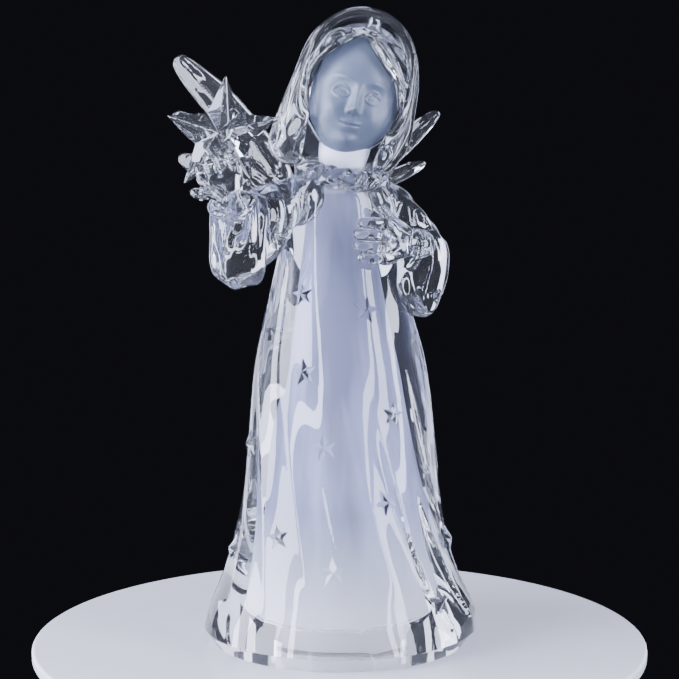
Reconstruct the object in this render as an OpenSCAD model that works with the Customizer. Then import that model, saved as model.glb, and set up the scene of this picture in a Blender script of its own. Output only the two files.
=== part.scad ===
// Clear cast angel figurine that holds up a star, with a frosted light chamber and a battery light
// unit in its base. Millimetres. +Z is up, the figure faces -Y, and the origin is the centre of the
// circle that it stands on. Her right arm and right wing are on the -X side.

/* [Gown] */
// Height of the gown's neck above the table
gown_h = 161; // [150:1:175]
// Radius of the hem at its widest
hem_r = 46.4; // [42:0.2:50]
// Height of the hem's widest line, above the bevel to the foot
hem_z = 4.7; // [3:0.1:7]
// Number of folds round the skirt
fold_count = 9; // [5:1:12]
// Depth of the skirt's folds
fold_depth = 1.3; // [0:0.1:2]
// Turn of the folds from the waist to the hem, in degrees
fold_turn = 46; // [0:1:80]
// Tip radius of the relief stars on the skirt
stud_r = 4.6; // [3:0.1:5.5]

/* [Light chamber] */
// Radius of the chamber just above the light unit
chamber_r = 22.5; // [20:0.1:24]
// Radius of the chamber's flat top
chamber_top_r = 7.2; // [5:0.1:9]
// Height of the chamber's flat top
chamber_top = 152.5; // [140:0.5:154]
// Wall of the frosted liner
liner_wall = 1; // [0.8:0.1:1.6]

/* [Head] */
// Centre of the head
head_at = [5.5, 1, 186.5];
// Lean of the head towards her left shoulder, in degrees
head_lean = 15; // [0:1:18]
// Turn of the head towards her right, in degrees
head_turn = 14; // [0:1:20]
// Wall of the hood
hood_wall = 2.6; // [2:0.1:3.5]

/* [Star] */
// Centre of the star that she holds
star_at = [-45.6, -19.5, 172];
// Radius of the star's tips
star_r = 20; // [16:0.5:22]
// Half thickness of the star at its middle
star_rise = 5; // [3:0.1:6]

/* [Wings] */
// Sweep of her right wing behind the shoulder line, in degrees
right_sweep = 35; // [25:1:45]
// Sweep of her left wing behind the shoulder line, in degrees
left_sweep = 37; // [25:1:45]
// Droop of her left wing below the right one, in degrees
left_droop = 13; // [0:1:22]
// Spread of her left wing's feathers against the right one's
left_spread = 0.86; // [0.7:0.02:1]
// Thickness of a feather
feather_t = 3.4; // [2.6:0.1:4.5]

/* [Light unit] */
// Radius of the socket in the foot that takes the base cap
socket_r = 24; // [23.5:0.1:26]
// Depth of that socket
socket_depth = 7; // [6:0.5:9]
// Recess of the base cap above the table
cap_recess = 0.8; // [0.4:0.1:1.5]
// Diameter of a button cell
cell_d = 11.6; // [9.5:0.1:12.5]
// Height of a button cell
cell_h = 5.4; // [3.6:0.1:5.8]
// Travel of the switch knob
switch_travel = 2.4; // [1.5:0.1:3]

/* [Hidden] */
clear_resin = [0.86, 0.9, 0.98, 0.5];
frosted_resin = [0.7, 0.74, 0.86];
glue_gap = 0.12;                // between a peg or liner and its seat
ball_fn = 18;                   // roundness of the modelled limbs
finger_fn = 10;
eps = 0.01;
ring_n = 60;                    // points round the gown
ring_count = 27;                // rings up the gown

function smooth(t) = let (s = min(max(t, 0), 1)) s * s * (3 - 2 * s);
function between(a, b, t) = smooth((t - a) / (b - a));

// ---------------------------------------------------------------- gown

// [share of gown_h, share of hem_r] from the foot to the neck.
gown_profile = [[0, 0.935], [hem_z / gown_h, 1], [0.075, 0.952], [0.15, 0.845], [0.26, 0.744],
    [0.42, 0.672], [0.6, 0.606], [0.72, 0.52], [0.83, 0.44], [0.92, 0.41], [0.965, 0.345], [1, 0.17]];

// Radius by straight steps between the profile's stations, eased inside each step.
function station(z, i = 1) = (i >= len(gown_profile) - 1 || z <= gown_profile[i][0] * gown_h) ?
    i : station(z, i + 1);
function profile_r(z) = let (
        i = station(z), a = gown_profile[i - 1], b = gown_profile[i],
        t = (z / gown_h - a[0]) / (b[0] - a[0])
    ) hem_r * (a[1] + (b[1] - a[1]) * t);

// The bust is flatter from front to back than it is wide.
function depth_share(z) = 1 - 0.16 * between(70, 140, z);
function fold_at(a, z) = fold_depth * between(3, 26, z) * (1 - between(96, 136, z))
    * (sin(fold_count * (a + fold_turn * (1 - z / gown_h))) + 0.5 * sin(4 * a + 160 * z / gown_h));
function gown_point(a, z) = let (r = profile_r(z) + fold_at(a, z))
    [r * cos(a), r * depth_share(z) * sin(a), z];

// Rings stand closer together at the bevel of the foot and at the shoulders.
function ring_z(k) = k == 0 ? 0 : k == 1 ? hem_z : hem_z + (gown_h - hem_z) * (k - 1) / (ring_count - 2);

module gown_outer() {
    rings = [for (k = [0:ring_count - 1]) [for (i = [0:ring_n - 1])
        gown_point(i * 360 / ring_n, ring_z(k))]];
    points = concat([for (ring = rings) each ring], [[0, 0, 0], [0, 0, gown_h]]);
    foot = ring_count * ring_n;
    function at(k, i) = k * ring_n + i % ring_n;
    faces = concat(
        [for (i = [0:ring_n - 1]) [foot, at(0, i), at(0, i + 1)]],
        [for (k = [0:ring_count - 2], i = [0:ring_n - 1]) each
            [[at(k, i), at(k + 1, i), at(k + 1, i + 1)], [at(k, i), at(k + 1, i + 1), at(k, i + 1)]]],
        [for (i = [0:ring_n - 1]) [foot + 1, at(ring_count - 1, i + 1), at(ring_count - 1, i)]]);
    polyhedron(points, faces);
}

// A five-pointed star with a ridge along each arm, lying in the XZ plane and facing -Y.
module ridged_star(r, rise, back) {
    inner = r * 0.45;
    rim = [for (i = [0:9]) let (a = 90 + i * 36, d = i % 2 == 0 ? r : inner) [d * cos(a), 0, d * sin(a)]];
    points = concat(rim, [[0, -rise, 0], [0, back, 0]]);
    faces = concat([for (i = [0:9]) [10, (i + 1) % 10, i]], [for (i = [0:9]) [11, i, (i + 1) % 10]]);
    polyhedron(points, faces);
}

// [direction round the gown from +X in degrees, height, size share, tilt] of each relief star.
studs = [[-138, 120, 0.8, 12], [-85, 115, 0.95, -14], [-132, 95, 0.95, 8], [-72, 81, 0.85, -10],
    [-177, 69, 1, 20], [-117, 71, 1, 10], [-81, 53, 1, 30], [-143, 41, 0.9, 15], [-111, 31, 1.05, 4],
    [-57, 19, 1, -8], [-7, 65, 1, 12], [-30, 36, 0.9, -20], [25, 97, 0.85, 0], [55, 50, 1, 18],
    [88, 100, 0.85, -12], [105, 28, 1, 6], [142, 62, 0.95, -16], [172, 32, 0.95, 10], [14, 22, 1, 22]];

module relief_stars() {
    for (s = studs) {
        at = gown_point(s[0], s[1]);
        lean = atan2(gown_point(s[0], s[1] - 6)[0] * cos(s[0]) - gown_point(s[0], s[1] + 6)[0] * cos(s[0])
            + gown_point(s[0], s[1] - 6)[1] * sin(s[0]) - gown_point(s[0], s[1] + 6)[1] * sin(s[0]), 12);
        translate(at) rotate([0, 0, s[0] + 90]) rotate([-lean, s[3], 0]) translate([0, -0.4, 0])
            ridged_star(stud_r * s[2], 1.4, 2);
    }
}

shoulder_z = 149;
neck_peg = [5, 10];              // radius and length of the neck's peg
arm_peg = [3, 10];
wing_peg = [1.7, 9];
wing_root = [8, 13, 149];        // where her left wing meets the gown

module chamber() {
    translate([0, 0, -eps]) cylinder(r = socket_r, h = socket_depth + eps, $fn = 96);
    translate([0, 0, socket_depth - eps])
        cylinder(r1 = chamber_r, r2 = chamber_top_r, h = chamber_top - socket_depth + eps, $fn = 96);
}

// Pegs of the arms and wings, each given extra radius for its socket. side is 1 for her left.
module arm_post(side, gap) {
    translate([side * (13 - gap), 1, shoulder_z]) rotate([0, side * 90, 0])
        cylinder(r = arm_peg[0] + gap, h = arm_peg[1] + gap, $fn = 32);
}
module wing_post(side, gap) {
    translate([side * wing_root[0], wing_root[1] - 5 - gap, wing_root[2]]) rotate([-90, 0, 0])
        cylinder(r = wing_peg[0] + gap, h = wing_peg[1] + gap, $fn = 32);
}
module neck_post(gap) {
    translate([0, 0, gown_h - 6 - gap]) cylinder(r = neck_peg[0] + gap, h = neck_peg[1], $fn = 40);
}

module gown() {
    color(clear_resin) difference() {
        union() {
            gown_outer();
            relief_stars();
        }
        chamber();
        neck_post(glue_gap);
        for (side = [-1, 1]) {
            arm_post(side, glue_gap);
            wing_post(side, glue_gap);
        }
    }
}

module frosted_core() {
    outer = [chamber_r - glue_gap, chamber_top_r - glue_gap];
    z0 = socket_depth + glue_gap;
    z1 = chamber_top - glue_gap;
    color(frosted_resin) rotate_extrude($fn = 96) polygon([[outer[0] - liner_wall, z0], [outer[0], z0],
        [outer[1], z1], [0, z1], [0, z1 - liner_wall], [outer[1] - liner_wall, z1 - liner_wall]]);
}

// ---------------------------------------------------------------- modelled limbs

// A limb is a list of [x, y, z, radius], swept as hulls of balls.
module ball(p, fn = ball_fn) { translate([p[0], p[1], p[2]]) sphere(r = p[3], $fn = fn); }
module limb(points, fn = ball_fn) {
    for (i = [0:len(points) - 2]) hull() {
        ball(points[i], fn);
        ball(points[i + 1], fn);
    }
}

// ---------------------------------------------------------------- collar

// A scarf folded round the neck, lower over her left shoulder.
module collar_solid() {
    n = 16;
    points = [for (i = [0:n]) let (a = i * 360 / n, lift = -2.4 * cos(a), swell = i % 2 == 0 ? 4.7 : 4)
        [1 + 10.6 * cos(a), 1 + 9.4 * sin(a), gown_h - 2.4 + lift, swell]];
    limb(points, 12);
}
module collar() {
    color(clear_resin) difference() {
        collar_solid();
        gown_outer();
        neck_solid(glue_gap);
    }
}

// ---------------------------------------------------------------- head

module head_place() { translate(head_at) rotate([0, head_lean, -head_turn]) children(); }

// Skull, cheeks and jaw about the head's centre, before the cut into head and face.
module skull(gap = 0) {
    hull() {
        ball([0.5, 2, 4.6, 15.8 + gap], 28);
        ball([-5, -4.6, -6, 9.6 + gap]);
        ball([6, -4.6, -6, 9.6 + gap]);
        ball([1, -7, -13.6, 6.8 + gap]);
    }
}
module neck_solid(gap = 0) {
    limb([[1, 1, gown_h - 1, 7.6 + gap], [2, 1, 168, 7.4 + gap], [4.5, 0, 176, 8 + gap]]);
}
module ears() {
    for (side = [-1, 1]) limb([[0.5 + side * 14.2, 1, -3, 1.8], [0.5 + side * 13.2, 2, -9, 1.8]], 10);
}
face_plane = -8;                // the face's casting is bonded on at this depth in the head
module face_side(keep_front) {
    translate([-40, keep_front ? face_plane - 60 : face_plane, -40]) cube([80, 60, 80]);
}
module head() {
    color(frosted_resin) {
        head_place() {
            intersection() {
                skull();
                face_side(false);
            }
            ears();
        }
        difference() {
            neck_solid();
            gown_outer();
            head_place() face_side(true);
        }
        neck_post(0);
    }
}
module face_features() {
    head_place() {
        limb([[0.6, -13.4, 0, 1.6], [0.7, -14.6, -3, 2], [0.8, -15.6, -5.4, 2.1]], 12);
        limb([[-2, -13.4, -10.4, 1.5], [0.8, -14.4, -10, 1.6], [3.6, -13.4, -10.4, 1.5]], 10);
        for (side = [-1, 1]) {
            limb([[0.6 + side * 4.2, -11.6, 0, 2], [0.6 + side * 7.4, -10.6, 0, 1.9]], 12);
            limb([[0.6 + side * 3.4, -12.3, 4.4, 1.3], [0.6 + side * 8, -10.8, 4.4, 1.2]], 8);
        }
    }
}
module face() {
    color(frosted_resin) difference() {
        union() {
            head_place() skull();
            face_features();
        }
        head_place() face_side(false);
        difference() {
            neck_solid();
            head_place() face_side(true);
        }
    }
}

// ---------------------------------------------------------------- hair and hood

module hood_shape(in = 0) {
    hull() {
        ball([-0.3, 4, 11, 17.6 - in], 28);
        ball([-0.3, -2, 11.4, 17.6 - in], 28);
        for (side = [-1, 1]) {
            ball([side * 8.6, 2, -8, 14 - in], 22);
            ball([side * 9.4, 4.3, -14.2, 12 - in], 20);
        }
    }
}
hood_front = -6;                // the hood's mouth, in the head's own frame
// The opening in the hair: a parting above the forehead and a lock down each cheek.
module face_arch() {
    rotate([90, 0, 0]) linear_extrude(height = 60) polygon([[-14, 5], [-8, 14], [-3.4, 20.6], [0, 15.4],
        [5, 11.4], [11, 8], [14.2, 3], [15, -5], [12.6, -13], [5, -20.6], [-4, -20.6], [-10.6, -14],
        [-13.4, -5]]);
}
module slab(y0, y1) { translate([-50, y0, -60]) cube([100, y1 - y0, 120]); }
module hair() {
    color(clear_resin) difference() {
        head_place() intersection() {
            hood_shape(hood_wall + glue_gap);
            difference() {
                slab(-12, 30);
                face_arch();
                skull();
                ears();
            }
        }
        face_features();
        neck_solid(glue_gap);
        gown_outer();
        collar_solid();
    }
}
module hood() {
    color(clear_resin) difference() {
        head_place() difference() {
            union() {
                intersection() {
                    hood_shape();
                    slab(hood_front, 40);
                }
                // the rolled rim round the mouth
                intersection() {
                    hood_shape(-0.7);
                    slab(hood_front - 2.6, hood_front + 0.8);
                }
            }
            hood_shape(hood_wall);
            skull(0.3);
        }
        neck_solid(glue_gap);
        gown_outer();
        collar_solid();
    }
}

// ---------------------------------------------------------------- arms

right_wrist = [-43, -24.6, 150.6];
left_wrist = [19.5, -18.4, 136];
module right_sleeve_solid() {
    limb([[-12, 1, shoulder_z + 1, 8.4], [-24, -4, 147, 8.6], [-37, -12, 142, 9.4]]);
    limb([[-37, -12, 142, 9.4], [-40.6, -18.5, 146, 8.4]]);
    limb([[-37, -12, 142, 9.4], [-38, -13, 131.5, 9.2]]);
    limb([[-38, -13, 131.5, 9.2], [-40.6, -18.5, 146, 8.4]]);
    limb([[-38, -13, 131.5, 9.2], [-28, -7, 138, 7]]);
    limb([[-28, -7, 138, 7], [-20, -1, 145, 7]]);
}
module left_sleeve_solid() {
    limb([[12, 1, shoulder_z + 1, 8.4], [22, 0, 142, 8.8], [29, -5, 129, 9.2]]);
    limb([[29, -5, 129, 9.2], [24.5, -10, 119, 8.8], [22, -13, 121, 7.6]]);
    limb([[29, -5, 129, 9.2], [25, -14, 133, 8.4], [22.5, -16, 134, 8]]);
    limb([[24.5, -10, 119, 8.8], [25, -14, 133, 8.4]]);
}

// A hand with its fingers along +Z, its back to -Y and its thumb to -X. curl bends the fingers to +Y.
finger_x = [-5.1, -1.8, 1.6, 4.8];
finger_l = [8.6, 9.8, 9.4, 7.6];
module hand_shape(curl, thumb) {
    hull() {
        ball([0, 0, -4, 4.2], 14);
        ball([-4, -0.4, 5, 3.2], 14);
        ball([4, -0.2, 5, 3], 14);
        ball([0, 0.6, 2, 4], 14);
    }
    for (i = [0:3]) limb([
        [finger_x[i], -0.8, 6.6, 2],
        [finger_x[i] * 1.06, -1 + 0.1 * curl, 6.6 + finger_l[i] * 0.55, 1.9],
        [finger_x[i], -0.6 + 0.5 * curl, 6.6 + finger_l[i], 1.65]], finger_fn);
    limb([[-3, 0.6, 0, 2.5], [-7, 0.8, 2 + thumb / 2, 2.2], [-9.5, 1 + 0.2 * curl, 3.6 + thumb, 1.8]], finger_fn);
}
module right_hand_solid() {
    translate(right_wrist) rotate([11, -24, -20]) translate([0, 0, 5]) hand_shape(1, 0);
}
module left_hand_solid() {
    translate(left_wrist) rotate([0, -82, 10]) mirror([1, 0, 0]) translate([0, 0, 4]) hand_shape(2.4, 5);
}
module star_solid() { translate(star_at) rotate([-12, 1, -30]) ridged_star(star_r, star_rise, star_rise); }

module right_sleeve() {
    color(clear_resin) {
        difference() {
            right_sleeve_solid();
            gown_outer();
            collar_solid();
            right_hand_solid();
        }
        arm_post(-1, 0);
    }
}
module left_sleeve() {
    color(clear_resin) {
        difference() {
            left_sleeve_solid();
            gown_outer();
            collar_solid();
            left_hand_solid();
        }
        arm_post(1, 0);
    }
}
module right_hand() {
    color(clear_resin) difference() {
        right_hand_solid();
        star_solid();
    }
}
module left_hand() {
    color(clear_resin) difference() {
        left_hand_solid();
        gown_outer();
        relief_stars();
    }
}
module star() { color(clear_resin) star_solid(); }

// ---------------------------------------------------------------- wings

// Feathers as [along, up, half width] points from the root, in the wing's own plane.
feathers = [
    [[3, 3, 4], [14, 16, 5.6], [30, 33, 6.2], [43, 45, 5.6]],
    [[4, 2, 4], [18, 12, 5.2], [33, 21, 5.2], [44, 27, 4.4]],
    [[4, 0, 4], [18, 4.5, 4.6], [33, 9.5, 4.6], [42.5, 13.6, 3.8]],
    [[3, -2, 3.6], [14, -1, 4], [26, 1, 4], [34, 4, 3.4]]];
// spread draws the feathers closer together, or farther apart when it is over 1.
module wing_shape(spread) {
    for (f = feathers, i = [0:2]) hull() for (p = [f[i], f[i + 1]])
        translate([p[0], 0, p[1] * spread]) scale([1, feather_t / 2 / p[2], 1]) sphere(r = p[2], $fn = 14);
}
module wing_solid(side, sweep, droop) {
    translate([side * wing_root[0], wing_root[1], wing_root[2]]) {
        mirror([side < 0 ? 1 : 0, 0, 0]) rotate([0, 0, sweep]) rotate([0, droop, 0])
            wing_shape(side < 0 ? 1 : left_spread);
        sphere(r = 4.4, $fn = ball_fn);
    }
}
module wing(side, sweep, droop) {
    color(clear_resin) {
        difference() {
            wing_solid(side, sweep, droop);
            gown_outer();
            if (side < 0) right_sleeve_solid(); else left_sleeve_solid();
            collar_solid();
            head_place() hood_shape();
        }
        wing_post(side, 0);
    }
}
module right_wing() { wing(-1, right_sweep, 0); }
module left_wing() { wing(1, left_sweep, left_droop); }

// ---------------------------------------------------------------- light unit

cap_r = socket_r - 0.15;
cap_t = 3;                      // thickness of the cap's floor
cap_top = cap_recess + cap_t;
door_t = 1.6;
bay = [19.2, cell_d + 0.8];     // inside of the battery bay, along X and Y
bay_y = -7;                     // centre of the bay
cell_z = cap_recess + door_t + 0.2 + cell_d / 2;
bay_top = cell_z + cell_d / 2 + 0.2;
bay_wall = 1.2;
door = [28, 15.8];
door_x = -2.1;                  // centre of the door
door_fit = 0.2;
screw_at = [-12.8, bay_y];
boss_h = 4.2;
board_t = 1.2;
board_z = bay_top + 1 + 2;
board = [24, 14];
board_y = -4;
board_screw_at = [[-8.6, -8.6], [8.6, -8.6]];
switch_at = [0, 12.4];
switch_size = [8.8, 4.4, 3.6];
knob_stem = [2, 1.4];
tab_y = 1;                      // the contacts' solder tabs, beside the board's screws

module base_cap() {
    color([0.93, 0.93, 0.94]) difference() {
        union() {
            translate([0, 0, cap_recess]) cylinder(r = cap_r, h = socket_depth - cap_recess - 0.1, $fn = 96);
            translate([-bay[0] / 2 - bay_wall, bay_y - bay[1] / 2 - bay_wall, cap_recess])
                cube([bay[0] + 2 * bay_wall, bay[1] + 2 * bay_wall, bay_top + 1 - cap_recess]);
            translate([screw_at[0], screw_at[1], cap_recess]) cylinder(r = 2.4, h = cap_t + boss_h, $fn = 32);
            for (p = board_screw_at) translate([p[0], p[1], bay_top])
                cylinder(r = 2, h = board_z - bay_top, $fn = 32);
        }
        // the well inside the cap's skirt, round the battery box
        difference() {
            translate([0, 0, cap_top]) cylinder(r = cap_r - 1.8, h = 20, $fn = 96);
            translate([-bay[0] / 2 - bay_wall, bay_y - bay[1] / 2 - bay_wall, 0])
                cube([bay[0] + 2 * bay_wall, bay[1] + 2 * bay_wall, bay_top + 1]);
            translate([screw_at[0], screw_at[1], 0]) cylinder(r = 2.4, h = cap_top + boss_h, $fn = 32);
            for (p = board_screw_at) translate([p[0], p[1], bay_top]) cylinder(r = 2, h = 10, $fn = 32);
        }
        translate([-bay[0] / 2, bay_y - bay[1] / 2, 0]) cube([bay[0], bay[1], bay_top]);
        translate([door_x - door[0] / 2, bay_y - door[1] / 2, -eps]) cube([door[0], door[1], cap_recess + door_t]);
        translate([screw_at[0], screw_at[1], 0]) cylinder(r = 1.05, h = cap_top + boss_h - 0.8, $fn = 32);
        for (p = board_screw_at) translate([p[0], p[1], board_z - 4]) cylinder(r = 1, h = 5, $fn = 32);
        for (side = [-1, 1]) translate([side * (bay[0] / 2 - 0.55) - 0.45, bay_y + tab_y - 0.4, bay_top - 1])
            cube([0.9, 2.8, 3]);
        translate([-(knob_stem[0] + switch_travel) / 2 - 0.4 + switch_at[0], switch_at[1] - knob_stem[1] / 2 - 0.4, 0])
            cube([knob_stem[0] + switch_travel + 0.8, knob_stem[1] + 0.8, 8]);
        // dish round the switch, so that a fingertip reaches the knob
        translate([switch_at[0], switch_at[1], -eps]) cylinder(r1 = 4.6, r2 = 3.6, h = cap_recess + 1, $fn = 48);
    }
}
module battery_door() {
    z0 = cap_recess;
    color([0.93, 0.93, 0.94]) difference() {
        union() {
            translate([door_x - door[0] / 2 + door_fit, bay_y - door[1] / 2 + door_fit, z0])
                cube([door[0] - 2 * door_fit, door[1] - 2 * door_fit, door_t - 0.1]);
            for (side = [-1, 1]) translate([-8, bay_y + side * (bay[1] / 2 - 0.9) - 0.5, z0])
                cube([16, 1, door_t + 0.9]);
        }
        translate([screw_at[0], screw_at[1], 0]) cylinder(r = 1.15, h = 5, $fn = 32);
        translate([screw_at[0], screw_at[1], 0]) cylinder(r = 2.3, h = z0 + 0.9, $fn = 32);
        // finger notch and grip ribs at the free end
        translate([door_x + door[0] / 2 - 3.2, bay_y, -2.2]) rotate([90, 0, 0])
            cylinder(r = 3.6, h = 7, center = true, $fn = 48);
    }
}
module screw(length, head_r, shank_r) {
    difference() {
        cylinder(r = head_r, h = 1, $fn = 32);
        for (a = [0, 90]) rotate([0, 0, a]) translate([-head_r * 0.7, -0.22, -eps])
            cube([head_r * 1.4, 0.44, 0.55]);
    }
    translate([0, 0, 1 - eps]) cylinder(r = shank_r, h = length, $fn = 32);
    translate([0, 0, 1 + length - 2 * eps]) cylinder(r1 = shank_r, r2 = shank_r * 0.4, h = 0.7, $fn = 32);
}
module door_screw() {
    color("silver") translate([screw_at[0], screw_at[1], cap_recess - 0.15]) screw(4.6, 2.1, 0.95);
}
module board_screws() {
    color("silver") for (p = board_screw_at) translate([p[0], p[1], board_z + board_t + 1]) mirror([0, 0, 1])
        screw(3.6, 1.8, 0.9);
}
module button_cells() {
    gap = 0.05;
    rim_h = 0.4;
    x0 = bay[0] / 2 - 0.5;
    color([0.78, 0.78, 0.76]) for (i = [0:2]) translate([x0 - gap - i * (cell_h + gap), bay_y, cell_z])
        rotate([0, -90, 0]) {
            cylinder(r = cell_d / 2, h = cell_h - rim_h, $fn = 64);
            cylinder(r = cell_d / 2 - 1.2, h = cell_h - gap, $fn = 64);
        }
}

// Conical coil from the stack's face to its end plate, as a swept wire.
module contact_spring() {
    turns = 3;
    steps = 14;
    sides = 6;
    wire = 0.28;
    x_plate = -bay[0] / 2 + 0.12;
    x_from = x_plate + 0.3 + wire * 0.6;
    x_to = bay[0] / 2 - 0.5 - 3 * (cell_h + 0.05) - wire - 0.04;
    n = turns * steps;
    function spot(t) = let (a = 360 * turns * t, r = 3.6 - 1.4 * t)
        [x_from + (x_to - x_from) * t, r * cos(a), r * sin(a)];
    function round_wire(t, s) = let (a = 360 * turns * t, c = spot(t), b = 360 * s / sides)
        [c[0] + wire * sin(b), c[1] + wire * cos(b) * cos(a), c[2] + wire * cos(b) * sin(a)];
    points = concat([for (i = [0:n], s = [0:sides - 1]) round_wire(i / n, s)], [spot(0), spot(1)]);
    function at(i, s) = i * sides + s % sides;
    faces = concat(
        [for (s = [0:sides - 1]) [(n + 1) * sides, at(0, s + 1), at(0, s)]],
        [for (i = [0:n - 1], s = [0:sides - 1]) each
            [[at(i, s), at(i + 1, s + 1), at(i + 1, s)], [at(i, s), at(i, s + 1), at(i + 1, s + 1)]]],
        [for (s = [0:sides - 1]) [(n + 1) * sides + 1, at(n, s), at(n, s + 1)]]);
    color([0.8, 0.78, 0.7]) {
        translate([0, bay_y, cell_z]) polyhedron(points, faces);
        contact_tab(x_plate);
    }
}
module contact_tab(x) {
    translate([x, bay_y - 4.4, cell_z - 4.4]) cube([0.3, 8.8, 8.8]);
    translate([x, bay_y + tab_y, cell_z]) cube([0.3, 2, board_z - 0.1 - cell_z]);
}
module contact_plate() {
    color([0.8, 0.78, 0.7]) contact_tab(bay[0] / 2 - 0.42);
}
module led_board() {
    color([0.12, 0.36, 0.2]) difference() {
        translate([-board[0] / 2, board_y - board[1] / 2, board_z]) cube([board[0], board[1], board_t]);
        for (p = board_screw_at) translate([p[0], p[1], board_z - 1]) cylinder(r = 1.15, h = 4, $fn = 32);
    }
}
module led_lamp() {
    z0 = board_z + board_t;
    color([0.92, 0.95, 1]) {
        translate([0, 0, z0]) cylinder(r = 2.9, h = 1, $fn = 40);
        translate([0, 0, z0]) cylinder(r = 2.5, h = 6, $fn = 40);
        translate([0, 0, z0 + 6]) sphere(r = 2.5, $fn = 40);
    }
}
module switch_body() {
    color([0.2, 0.2, 0.22]) difference() {
        translate([switch_at[0] - switch_size[0] / 2, switch_at[1] - switch_size[1] / 2, cap_top])
            cube(switch_size);
        // the channel that the knob's foot runs in, and the slot for its stem
        translate([switch_at[0] - 3.4, switch_at[1] - 1.35, cap_top + 1]) cube([6.8, 2.7, 1.5]);
        translate([switch_at[0] - 2.5, switch_at[1] - 0.85, cap_top - 1]) cube([5, 1.7, 3]);
    }
}
module switch_knob() {
    x0 = switch_at[0] - switch_travel / 2;
    color([0.9, 0.9, 0.92]) {
        translate([x0 - 2, switch_at[1] - 1.2, cap_top + 1.1]) cube([4, 2.4, 1.2]);
        translate([x0 - knob_stem[0] / 2, switch_at[1] - knob_stem[1] / 2, cap_recess + 0.1])
            cube([knob_stem[0], knob_stem[1], cap_top - cap_recess + 1.5]);
    }
}

// Each lead runs from a tag on the switch to the underside of the board.
leads = [
    [[-2.6, 12.4, 7.6], [-2.8, 12.6, 11], [-3.6, 9.5, 14.6], [-4.4, 3.4, 15.6], [-4.6, 2, 17]],
    [[2.6, 12.4, 7.6], [2.8, 12.6, 10], [4, 8.6, 13.6], [5, 3.4, 15.2], [5.2, 2, 17]]];
module lead_wires() {
    wire = 0.55;
    top = board_z - wire - 0.05;
    color([0.75, 0.12, 0.1]) for (route = leads) {
        points = [for (i = [0:len(route) - 1]) i == 0 ? [route[0][0], route[0][1], cap_top + switch_size[2] + wire + 0.05] :
            i == len(route) - 1 ? [route[i][0], route[i][1], top] : route[i]];
        for (i = [0:len(points) - 2]) {
            d = points[i + 1] - points[i];
            translate(points[i]) rotate([0, acos(d[2] / norm(d)), atan2(d[1], d[0])])
                cylinder(r = wire, h = norm(d), $fn = 16);
        }
        for (p = points) translate(p) sphere(r = wire * 1.08, $fn = 16);
    }
}

// ---------------------------------------------------------------- nodes

gown();
frosted_core();
collar();
head();
face();
hair();
hood();
right_sleeve();
right_hand();
star();
left_sleeve();
left_hand();
right_wing();
left_wing();
base_cap();
battery_door();
door_screw();
button_cells();
contact_spring();
contact_plate();
led_board();
led_lamp();
board_screws();
switch_body();
switch_knob();
lead_wires();
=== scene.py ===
"""Clear cast angel figurine with a frosted core and face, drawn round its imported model."""
import math

import bmesh
import bpy
from bpy.props import FloatProperty, FloatVectorProperty, IntProperty, PointerProperty
from mathutils import Matrix, Vector, noise


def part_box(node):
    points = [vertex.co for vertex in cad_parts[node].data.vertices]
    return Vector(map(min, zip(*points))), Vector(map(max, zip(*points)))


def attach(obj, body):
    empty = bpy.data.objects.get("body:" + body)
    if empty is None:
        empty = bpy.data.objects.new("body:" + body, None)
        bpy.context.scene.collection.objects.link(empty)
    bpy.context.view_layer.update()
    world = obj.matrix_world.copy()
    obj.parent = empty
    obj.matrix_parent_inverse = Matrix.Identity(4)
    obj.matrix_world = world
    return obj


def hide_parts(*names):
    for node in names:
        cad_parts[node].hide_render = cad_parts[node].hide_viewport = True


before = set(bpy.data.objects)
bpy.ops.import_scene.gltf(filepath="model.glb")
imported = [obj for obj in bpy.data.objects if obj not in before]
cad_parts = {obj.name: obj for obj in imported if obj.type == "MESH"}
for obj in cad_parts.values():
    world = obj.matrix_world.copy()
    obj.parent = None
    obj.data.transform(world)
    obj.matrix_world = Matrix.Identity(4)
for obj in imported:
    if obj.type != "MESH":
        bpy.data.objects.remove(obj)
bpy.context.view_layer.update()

bl_info = {
    "name": "Clear cast angel figurine",
    "version": (1, 0, 0),
    "blender": (4, 5, 0),
    "location": "3D View > Sidebar > Angel",
    "description": "Builds the castings, finishes and studio of a clear angel figurine",
    "category": "Add Mesh",
}

MM = 0.001
MAIN_BODY = "figurine"


def box_mm(node):
    """The lowest and highest corner of a node of the frame, in millimetres."""
    low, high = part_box(node)
    return low / MM, high / MM


GOWN_HIGH = box_mm("gown")[1]
CORE_LOW, CORE_HIGH = box_mm("frosted_core")
CAP_HIGH = box_mm("base_cap")[1]
GOWN_H = GOWN_HIGH.z
HEM_R = GOWN_HIGH.x
# Height of the gown's widest line, above the bevel of the foot.
HEM_Z = 4.7
CAP_GAP = 0.15
GLUE_GAP = 0.12
# How deep the casting bites into the frosted core, so that the two look bonded.
BOND = 0.15
CORE_TOP_R = 7.08
SOCKET_R = CAP_HIGH.x + CAP_GAP
SOCKET_DEPTH = CORE_LOW.z - GLUE_GAP
CHAMBER_R = CORE_HIGH.x - BOND
CHAMBER_TOP_R = CORE_TOP_R - BOND
CHAMBER_TOP = CORE_HIGH.z - BOND

# ---- curves and places


def smooth_step(value):
    """0 below 0, 1 above 1 and an even S between."""
    value = min(max(value, 0.0), 1.0)
    return value * value * (3 - 2 * value)


def between(low, high, value):
    """How far value has gone from low to high, eased at both ends."""
    return smooth_step((value - low) / (high - low))


def bell(distance, width):
    """A rounded bump of height 1 and the given half width."""
    return math.exp(-(distance / width) ** 2)


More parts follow.
